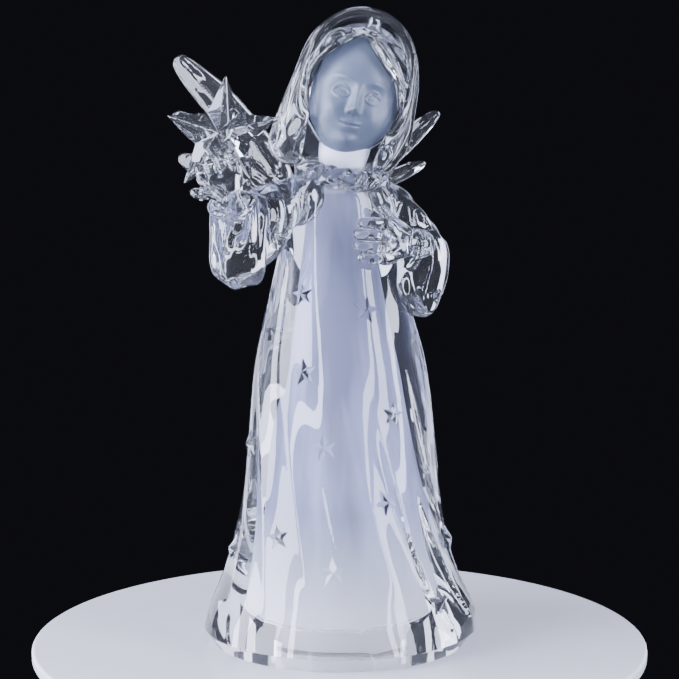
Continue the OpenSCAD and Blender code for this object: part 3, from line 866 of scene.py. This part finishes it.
# Each lock's width and its points as x, y, z, then how far the lock behind it stands off there.
LOCKS = [
    (1.5, [(0.4, -13.8, 18.4, 1.6, 3.4, 1.2), (6.2, -14.6, 13.2, 4.4, 3.0, 2.64),
           (11.6, -12.8, 7.6, 3.08, 3.4, 2.2), (15.4, -10.2, 0.8, 1.54, 3.6, 0),
           (17.0, -8.4, -8.5, 0.88, 3.6, 0)]),
    (1.4, [(-4.4, -13.2, 18.6, -1.6, 3.4, 1.0), (-9.0, -13.4, 14.6, -3.52, 3.4, 1.76),
           (-13.4, -11.8, 9.0, -2.2, 3.6, 0), (-16.6, -9.4, 1.8, -1.32, 3.6, 0),
           (-17.6, -7.8, -8.0, -0.66, 3.6, 0)])]


def hair_casting():
    """Centre-parted hair: a smooth cap with raised locks that sweep from the parting to the cheeks."""
    bm = bmesh.new()
    bmesh.ops.create_icosphere(bm, subdivisions=6, radius=1.0)
    shaped(bm, crown_form)
    for i in range(2):
        for width, path in LOCKS:
            add_lock(bm, [(x + dx * i, y + dy * i, z + dz * i) for x, y, z, dx, dy, dz in path], width)
    bm = fused(bm, 0.55, 8)
    bm = combined(bm, prism(HAIRLINE, -40, FACE_PLANE, 3.4), "DIFFERENCE")
    bm = combined(bm, head_front(0.004), "DIFFERENCE")
    rippled(bm, 6.0, 0.12, 3.0)
    moved(bm, head_matrix())
    return bm


HOOD_BALLS = [
    (-0.3, 4, 10.4, 18.0), (-0.3, -3.5, 9.8, 18.0), (8.8, 1.5, -8, 14.2), (-8.4, 1.5, -8, 14.0),
    (9.6, 3.5, -14.2, 12.6), (-11.4, 3.5, -15.6, 12.0), (-16, 6, -22, 8.0), (13, 6, -20, 8.0)]
MOUTH_Y = -8.4
# Below this height in the head's own frame the mouth is open down to the scarf.
OPEN_Z = -12.5
RIM_IN = 1.1
RIM_R = 1.7


def hood_casting():
    """The hood: a shell with a rolled rim round the mouth and long folds down to the shoulders."""
    look = bpy.context.scene.angel_head
    bm = bmesh.new()
    add_hull(bm, HOOD_BALLS)
    bm = fused(bm, 0.8, 10)
    cut = cut_off(bm, (0, MOUTH_Y, 0), (0, -1, 0.12))
    rim = [g.co.copy() for g in cut if isinstance(g, bmesh.types.BMVert)]
    middle = sum(rim, Vector()) / len(rim)
    # the ring is walked from the bottom, where the mouth is open
    rim.sort(key=lambda p: math.atan2(p.x - middle.x, middle.z - p.z))
    bead = [(*(p + (middle - p).normalized() * RIM_IN), RIM_R) for p in rim[::5] if p.z > OPEN_Z]
    outward(bm)
    bmesh.ops.solidify(bm, geom=bm.faces, thickness=look.hood_wall)
    outward(bm)
    # the rolled rim falls to the scarf on both sides
    add_limb(bm, softened([(12, 1, -27, 1.2), (13.4, -3.4, -20, 1.6), bead[0]], 4), 2)
    add_limb(bm, bead, 2)
    add_limb(bm, softened([bead[-1], (-13.8, -3.4, -20, 1.6), (-12.6, 1, -27, 1.2)], 4), 2)
    for side in (-1, 1):
        for i in range(2):
            add_lock(bm, [(side * (7 + 5 * i), -4 + 7 * i, 25.8 - 2 * i),
                          (side * (16.8 + i), -4 + 7 * i, 14.0),
                          (side * 20.2, -3.6 + 7 * i, -2.0), (side * (21.0 + 0.4 * i), -3 + 7 * i, -14.0),
                          (side * (17 + i), -2 + 7 * i, -25.0)], 1.6)
    bm = fused(bm, 0.6, 6)
    bm = combined(bm, prism(THROAT, -30, 8), "DIFFERENCE")
    bm = fused(bm, 0.6, 3)
    rippled(bm, 11.0, 0.3, 11.0)
    moved(bm, head_matrix())
    return bm


class ANGEL_OT_head(bpy.types.Operator):
    """Sculpt the frosted face and neck, the parted hair and the hood"""
    bl_idname = "angel.head"
    bl_label = "Head, hair and hood"

    def execute(self, context):
        piece("face_insert", face_insert(), frosted_face(), ["face"], crease=50)
        piece("neck_core", neck_core(), frosted_neck(), ["head"])
        glossy = clear_resin("clear_hair", 5.0, 0.05)
        piece("hair_casting", hair_casting(), glossy, ["hair"], crease=40)
        piece("hood_casting", hood_casting(), clear_resin("clear_hood", 9.0, 0.08), ["hood"])
        return {"FINISHED"}


# ---- scarf, sleeves and hands


SCARF_TURNS = 64
SCARF_STRANDS = 3
SCARF_TWIST = 4
SCARF_ROPE_R = 2.3


def scarf_spot(angle, reach=0.0, lift=0.0):
    """A point of the scarf's ring; it hangs lower in front and over her left shoulder."""
    x = 1 + (12.0 + reach) * math.cos(angle)
    y = 0.6 + (10.6 + reach) * math.sin(angle)
    return x, y, GOWN_H - 2.2 + 2.0 * math.sin(angle) - 1.6 * math.cos(angle) + lift


def scarf_casting():
    """A scarf gathered round the neck, its folds twisted like coarse rope."""
    bm = bmesh.new()
    add_limb(bm, [(*scarf_spot(math.tau * i / SCARF_TURNS), 3.0) for i in range(SCARF_TURNS + 1)], 2)
    for strand in range(SCARF_STRANDS):
        path = []
        for i in range(SCARF_TURNS + 1):
            angle = math.tau * i / SCARF_TURNS
            twist = SCARF_TWIST * angle + math.tau * strand / SCARF_STRANDS
            reach, lift = SCARF_ROPE_R * math.cos(twist), SCARF_ROPE_R * math.sin(twist)
            path.append((*scarf_spot(angle, reach, lift), 2.1))
        add_limb(bm, path, 2)
    bm = fused(bm, 0.45, 3)
    rippled(bm, 3.0, 0.35, 41.0)
    return bm


CUFF_STEPS = 28
FOLD_WIDTH = 4.5
FOLD_DEPTH = 1.5


def add_cuff(bm, centre, direction, radius, roll):
    """The rolled edge of a bell sleeve, as a ring of small balls."""
    place = facing(centre, direction)
    ring = []
    for i in range(CUFF_STEPS + 1):
        angle = math.tau * i / CUFF_STEPS
        spot = place @ Vector((radius * math.cos(angle), radius * math.sin(angle), 0))
        ring.append((*spot, roll * (1 + 0.15 * math.sin(3 * angle))))
    add_limb(bm, ring, 2)


def sleeve_casting(limb, lobes, drop, seed, cuff):
    """A bell sleeve: an arm that widens into hanging lobes, with long folds and a rolled cuff."""
    bm = bmesh.new()
    add_limb(bm, softened(limb))
    for lobe in lobes:
        add_hull(bm, lobe)
    bm = fused(bm, 0.6, 12)
    pressed(bm, FOLD_DEPTH, lambda p: Vector((p.x / FOLD_WIDTH + seed, p.y / FOLD_WIDTH, p.z / drop)))
    add_cuff(bm, *cuff)
    return fused(bm, 0.55, 3)


def right_sleeve_casting():
    """The raised bell sleeve on her right arm, which hangs in a deep lobe under the wrist."""
    return sleeve_casting(
        [(-11, 1, 151, 8.6), (-24, -4, 148, 8.4), (-35, -12, 145, 8.2)],
        [[(-37, -12, 142, 8.6), (-38.6, -13, 131.5, 9.0), (-41.4, -18.5, 146.5, 7.4), (-34, -10, 136, 7.6)],
         [(-38, -12, 132, 7.4), (-29, -7, 137, 6.4), (-35, -11, 144, 7.4), (-20, -1, 146, 6.6)]],
        16.0, 21.0, ((-42.6, -20.4, 150.0), (-0.25, -0.35, 0.9), 7.0, 1.3))


def left_sleeve_casting():
    """The bent bell sleeve on her left arm, falling from the elbow."""
    return sleeve_casting(
        [(11, 1, 151, 8.6), (22, 0, 143, 8.4), (28, -4, 132, 8.6)],
        [[(28.5, -5, 131, 9.0), (24.5, -10, 119.5, 8.6), (25, -14, 133, 7.6), (22, -13, 122, 7.2)],
         [(28, -6, 131, 8.4), (25, -14, 133, 7.6), (22.5, -16, 134.5, 6.8)]],
        18.0, 33.0, ((19.6, -17.4, 134.5), (-0.9, -0.1, 0.16), 6.0, 1.2))


# Each finger's place across the hand and its length, then the shares and radii of its bones.
FINGERS = [(-5.4, 8.8), (-1.9, 10.2), (1.7, 9.8), (5.1, 8.0)]
BONES = [(0.0, 2.15), (0.26, 1.8), (0.22, 1.98), (0.26, 1.72), (0.22, 1.6)]


def hand_form(bend, thumb):
    """A small plump hand: fingers along +Z, its back to -Y and its thumb to -X.

    bend is how far the finger ends curl, in radians; thumb is the height of the thumb's tip.
    """
    bm = bmesh.new()
    add_limb(bm, [(0, 0, -7, 4.3), (0, 0, -3, 4.3)])
    add_hull(bm, [(-3.4, -0.4, 4.4, 3.1), (3.4, -0.2, 4.4, 3.0), (0, 0.4, -2, 4.2), (0, -0.8, 3, 3.4)], 3)
    for x, length in FINGERS:
        path = [(x * 0.8, -0.4, 3.2, 2.4)]
        spot, angle = Vector((x, -1.0, 6.0)), 0.0
        for share, radius in BONES:
            spot += Vector((0, math.sin(angle), math.cos(angle))) * length * share
            path.append((*spot, radius))
            angle += bend * share * 1.6
        add_limb(bm, softened(path, 3), 2)
    add_limb(bm, softened([(-2.6, 0.4, -1, 2.9), (-6.0, 0.6, 1.0 + thumb / 2, 2.3),
                           (-8.2, 0.8, thumb, 2.05), (-10.0, 1.0, thumb + 1.4, 1.6)], 3), 2)
    return fused(bm, 0.3, 3)


def right_hand_casting():
    """Her right hand, closed round the star's lower arm."""
    bm = hand_form(1.9, 1.8)
    moved(bm, Matrix.Translation((-43, -24.6, 150.6)) @ turned(-20, "Z") @ turned(-24, "Y")
          @ turned(11, "X") @ Matrix.Translation((0, 0, 5)))
    return bm


def left_hand_casting():
    """Her left hand, laid across the chest."""
    bm = hand_form(0.55, 6.0)
    moved(bm, Matrix.Translation((19.5, -18.8, 136.5)) @ turned(10, "Z") @ turned(-86, "Y")
          @ Matrix.Diagonal((-1.08, 1, 1.05, 1)) @ Matrix.Translation((0, 0, 4)))
    return bm


class ANGEL_OT_arms(bpy.types.Operator):
    """Cast the scarf, the two bell sleeves and the hands"""
    bl_idname = "angel.arms"
    bl_label = "Scarf, sleeves and hands"

    def execute(self, context):
        cloth = clear_resin("clear_sleeve", 5.0, 0.15)
        skin = clear_resin("clear_hand", 4.0, 0.05)
        piece("scarf_casting", scarf_casting(), cloth, ["collar"])
        piece("right_sleeve_casting", right_sleeve_casting(), cloth, ["right_sleeve"])
        piece("left_sleeve_casting", left_sleeve_casting(), cloth, ["left_sleeve"])
        piece("right_hand_casting", right_hand_casting(), skin, ["right_hand"])
        piece("left_hand_casting", left_hand_casting(), skin, ["left_hand"])
        return {"FINISHED"}


# ---- star


STAR_AT = Vector((-45.6, -19.5, 172.0))
BROKEN_EDGE = 0.22


def star_casting():
    """The faceted star: two ridged faces back to back, with its edges just broken."""
    look = bpy.context.scene.angel_star
    bm = add_ridged_star(bmesh.new(), look.radius, look.waist, look.rise, look.rise)
    under = [f for f in bm.faces if len(f.verts) == STAR_CORNERS]
    low = under[0].verts[:]
    bmesh.ops.poke(bm, faces=under)
    bmesh.ops.translate(bm, vec=(0, 0, look.rise), verts=low)
    bmesh.ops.remove_doubles(bm, verts=bm.verts, dist=0.01)
    outward(bm)
    bmesh.ops.bevel(bm, geom=bm.edges[:], offset=BROKEN_EDGE, segments=2, profile=0.5, affect="EDGES",
                    material=-1)
    moved(bm, Matrix.Translation(STAR_AT) @ turned(-30, "Z") @ turned(1, "Y") @ turned(78, "X"))
    return bm


class ANGEL_OT_star(bpy.types.Operator):
    """Cut the faceted star"""
    bl_idname = "angel.star"
    bl_label = "Star"

    def execute(self, context):
        obj = piece("star_casting", star_casting(), clear_resin("clear_star", 8.0, 0.04), ["star"])
        obj.data.shade_flat()
        return {"FINISHED"}


# ---- wings

WING_ROOT = (8.0, 13.0, 149.0)
# Long feathers as (along, up, half width) from the root, then the short ones that cover their roots.
LONG_FEATHERS = [
    [(3, 3, 3.2), (14, 16, 5.2), (30, 33, 6.2), (43.5, 46, 5.8)],
    [(4, 2, 3.2), (18, 12, 4.8), (33, 21, 5.2), (45, 28, 4.6)],
    [(4, 0, 3.2), (18, 4.5, 4.4), (33, 9.5, 4.6), (43.5, 14, 4.0)],
    [(3, -2, 3.0), (14, -1, 3.8), (26, 1, 4), (35, 4.2, 3.4)]]
COVERTS = [
    (14, 15, 4.0, 52), (16.5, 10.5, 3.6, 36), (17, 5.5, 3.4, 22), (16, 0.5, 3.2, 8), (24, 25, 3.6, 48),
    (9, 8, 3.4, 44), (10, 3, 3.2, 20)]


def add_feather(bm, spine, lift, thickness, roll):
    """One blade: a long flat ball laid along its spine and rolled about it, with a raised quill."""
    verts = bmesh.ops.create_uvsphere(bm, u_segments=40, v_segments=28, radius=1.0,
                                      matrix=turned(90, "Y"))["verts"]
    last = len(spine) - 1
    tracks = [[(i, point[axis]) for i, point in enumerate(spine)] for axis in range(3)]

    def middle(t):
        return Vector((eased(tracks[0], t), eased(tracks[1], t)))

    for vert in verts:
        x, y, z = vert.co
        t = (x + 1) / 2 * last
        direction = (middle(t + 0.1) - middle(t - 0.1)).normalized()
        normal = Vector((-direction.y, direction.x))
        across = max(1e-6, math.hypot(y, z))
        full = across ** 0.45
        share = z / across
        quill = 0.5 * bell(share * full, 0.13) * (1 - 0.6 * t / last)
        barbs = 0.1 * math.sin(27 * abs(share) * full + 22 * t / last)
        flat = (abs(y) / across) ** 0.6 * math.copysign(1.0, y) * full
        rim = 0.5 * bell(full - 0.86, 0.1)
        out = flat * (thickness / 2 - 0.3 + rim + quill + barbs * between(0.2, 0.6, abs(share) * full))
        wide = eased(tracks[2], t) * full * share
        spot = middle(t) + normal * (wide * math.cos(roll) - out * math.sin(roll))
        # the end of the ball is drawn out into a round tip
        spot += direction * spine[-1][2] * 0.9 * max(0.0, x - 0.6) / 0.4 * (1 - across)
        vert.co = (spot.x, out * math.cos(roll) + wide * math.sin(roll) + lift, spot.y)


COVERT_RUN = 6.5


def wing_casting(side, sweep, droop, spread, roll, reaches, narrow):
    """A wing: four long feathers and two rows of short ones, fused at their roots.

    reaches are the shares of the long feathers' lengths that show, and narrow is a share of their width.
    """
    look = bpy.context.scene.angel_wing
    bm = bmesh.new()
    for i, (spine, reach) in enumerate(zip(LONG_FEATHERS, reaches)):
        blade = [(a * reach, up * spread * reach, half * narrow) for a, up, half in spine]
        add_feather(bm, blade, 0.5 * i - 0.4, look.thickness, roll)
    for along, up, half, degrees in COVERTS:
        angle = math.radians(degrees)
        run = Vector((math.cos(angle), math.sin(angle) * spread)) * COVERT_RUN
        middle = Vector((along, up * spread))
        half *= narrow
        spine = [(*(middle - run), half * 0.8), (*middle, half), (*(middle + run), half * 0.9)]
        add_feather(bm, spine, -0.2, look.thickness + 1.0, roll)
    add_ball(bm, (0, 0, 0), 4.4)
    bm = fused(bm, 0.42, 2)
    moved(bm, Matrix.Translation((side * WING_ROOT[0], *WING_ROOT[1:])) @ Matrix.Diagonal((side, 1, 1, 1))
          @ Matrix.Rotation(sweep, 4, "Z") @ Matrix.Rotation(droop, 4, "Y"))
    return bm


class ANGEL_OT_wings(bpy.types.Operator):
    """Cast the two feathered wings"""
    bl_idname = "angel.wings"
    bl_label = "Wings"

    def execute(self, context):
        look = context.scene.angel_wing
        clear = clear_resin("clear_wing", 7.0, 0.12)
        piece("right_wing_casting", wing_casting(-1, look.right_sweep, 0.0, 1.0, 0.0, (1, 1, 1, 1), 1.0),
              clear, ["right_wing"])
        folded = wing_casting(1, look.left_sweep, look.left_droop, look.left_spread, look.left_roll,
                              (1.04, 0.92, 0.72, 0.7), 0.62)
        piece("left_wing_casting", folded, clear, ["left_wing"])
        return {"FINISHED"}


# ---- light unit


class ANGEL_OT_light_unit(bpy.types.Operator):
    """Finish the light unit in the foot"""
    bl_idname = "angel.light_unit"
    bl_label = "Light unit"

    def execute(self, context):
        finishes = [
            # The white cap's emission is painted lamplight: the cap is no lamp.
            (moulded_plastic("white_cap", (0.86, 0.86, 0.87), painted_glow=0.35), ["base_cap"]),
            (moulded_plastic("door_plastic", (0.83, 0.83, 0.85), 0.03), ["battery_door"]),
            (moulded_plastic("knob_plastic", (0.9, 0.9, 0.92)), ["switch_knob"]),
            (moulded_plastic("switch_plastic", (0.05, 0.05, 0.055)), ["switch_body"]),
            (plated_metal("zinc_screw", (0.72, 0.73, 0.75)), ["door_screw", "board_screws"]),
            (plated_metal("cell_steel", (0.76, 0.76, 0.75), (1.0, 6.0, 6.0)), ["button_cells"]),
            (plated_metal("contact_nickel", (0.82, 0.79, 0.7)), ["contact_spring", "contact_plate"]),
            (circuit_board(), ["led_board"]),
            (clear_resin("lamp_lens", 3.0, 0.02), ["led_lamp"]),
            (moulded_plastic("wire_jacket", (0.55, 0.05, 0.04)), ["lead_wires"])]
        for material, nodes in finishes:
            for node in nodes:
                wear(node, material)
        return {"FINISHED"}


# ---- studio

LIGHT_TINT = (0.75, 0.79, 1.0)
# The table top in millimetres.
FLOOR_R = 105.0
FLOOR_T = 4.0
FLOOR_GAP = 0.02
ROOM = (0.006, 0.006, 0.008, 1)
# Each soft box: direction in degrees, height, distance, width and tall in metres, power in watts, and
# whether it shows through the resin.
SOFT_BOXES = [
    (-80, 0.24, 0.60, 0.24, 0.70, 14.0, False),
    (42, 0.24, 0.60, 0.13, 0.70, 6.5, False),
    (-18, 0.66, 0.36, 0.40, 0.24, 1.6, False),
    (-106, 0.18, 0.55, 0.14, 0.60, 7.5, True),
    (-58, 0.16, 0.60, 0.05, 0.60, 3.6, True),
    (70, 0.16, 0.55, 0.08, 0.60, 4.0, True),
    (30, 0.16, 0.60, 0.04, 0.60, 1.8, True),
    (127, 0.20, 0.90, 0.34, 0.90, 2.4, True),
    (-163, 0.20, 0.90, 0.34, 0.90, 3.4, True),
    (160, 0.80, 0.20, 0.30, 0.30, 3.0, True)]
# The camera's place in degrees and metres.
CAMERA_TURN = -18.0
CAMERA_OUT = 0.62
CAMERA_Z = 0.175
LOOK_Z = 0.103
LENS_MM = 97.5


def floor_disc():
    """The round table top, with a softened edge."""
    bm = bmesh.new()
    bmesh.ops.create_cone(bm, cap_ends=True, segments=160, radius1=FLOOR_R, radius2=FLOOR_R, depth=FLOOR_T,
                          matrix=Matrix.Translation((0, 0, -FLOOR_T / 2 - FLOOR_GAP)))
    edges = [e for e in bm.edges if len(e.link_faces) == 2 and e.calc_face_angle() > 1]
    bmesh.ops.bevel(bm, geom=edges, offset=1.0, segments=4, profile=0.5, affect="EDGES", material=-1)
    bmesh.ops.scale(bm, vec=(MM, MM, MM), verts=bm.verts)
    return bm


def stood(data, turn, out, height):
    """Stands a light or the camera round the figure, turned to her middle."""
    obj = bpy.data.objects.new(data.name, data)
    angle = math.radians(turn)
    obj.location = (out * math.sin(angle), -out * math.cos(angle), height)
    obj.rotation_euler = (Vector((0, 0, LOOK_Z)) - obj.location).to_track_quat("-Z", "Y").to_euler()
    bpy.context.scene.collection.objects.link(obj)
    return obj


class ANGEL_OT_studio(bpy.types.Operator):
    """Set the table, the soft boxes and the camera"""
    bl_idname = "angel.studio"
    bl_label = "Studio"

    def execute(self, context):
        table = linked("table", floor_disc())
        table.data.materials.append(table_top())
        for i, (turn, height, out, width, tall, power, through) in enumerate(SOFT_BOXES):
            light = bpy.data.lights.new(f"soft_box_{i}", "AREA")
            light.shape = "RECTANGLE"
            light.size = width
            light.size_y = tall
            light.energy = power
            light.color = LIGHT_TINT
            box = stood(light, turn, out, height)
            box.visible_camera = False
            box.visible_transmission = through
        world = bpy.data.worlds.new("dark_room")
        world.use_nodes = True
        world.node_tree.nodes["Background"].inputs["Color"].default_value = ROOM
        context.scene.world = world
        lens = bpy.data.cameras.new("camera")
        lens.lens = LENS_MM
        lens.sensor_width = 36
        context.scene.camera = stood(lens, CAMERA_TURN, CAMERA_OUT, CAMERA_Z)
        return {"FINISHED"}


# ---- panel and start

STEPS = [ANGEL_OT_gown, ANGEL_OT_head, ANGEL_OT_arms, ANGEL_OT_star, ANGEL_OT_wings, ANGEL_OT_light_unit,
         ANGEL_OT_studio]
SETTINGS = {"angel_gown": GownSettings, "angel_head": HeadSettings, "angel_wing": WingSettings,
            "angel_star": StarSettings, "angel_finish": FinishSettings}


class ANGEL_PT_build(bpy.types.Panel):
    """The figurine's sizes and the steps that build it"""
    bl_label = "Clear angel"
    bl_space_type = "VIEW_3D"
    bl_region_type = "UI"
    bl_category = "Angel"

    def draw(self, context):
        for name in SETTINGS:
            group = getattr(context.scene, name)
            box = self.layout.box()
            for key in group.bl_rna.properties.keys():
                if key not in ("rna_type", "name"):
                    box.prop(group, key)
        for step in STEPS:
            self.layout.operator(step.bl_idname)


def register():
    for cls in (*SETTINGS.values(), *STEPS, ANGEL_PT_build):
        bpy.utils.register_class(cls)
    for name, cls in SETTINGS.items():
        setattr(bpy.types.Scene, name, PointerProperty(type=cls))


def unregister():
    for name in SETTINGS:
        delattr(bpy.types.Scene, name)
    for cls in (ANGEL_PT_build, *reversed(STEPS), *SETTINGS.values()):
        bpy.utils.unregister_class(cls)


def main():
    register()
    for step in STEPS:
        group, name = step.bl_idname.split(".")
        getattr(getattr(bpy.ops, group), name)()


if __name__ == "__main__":
    main()
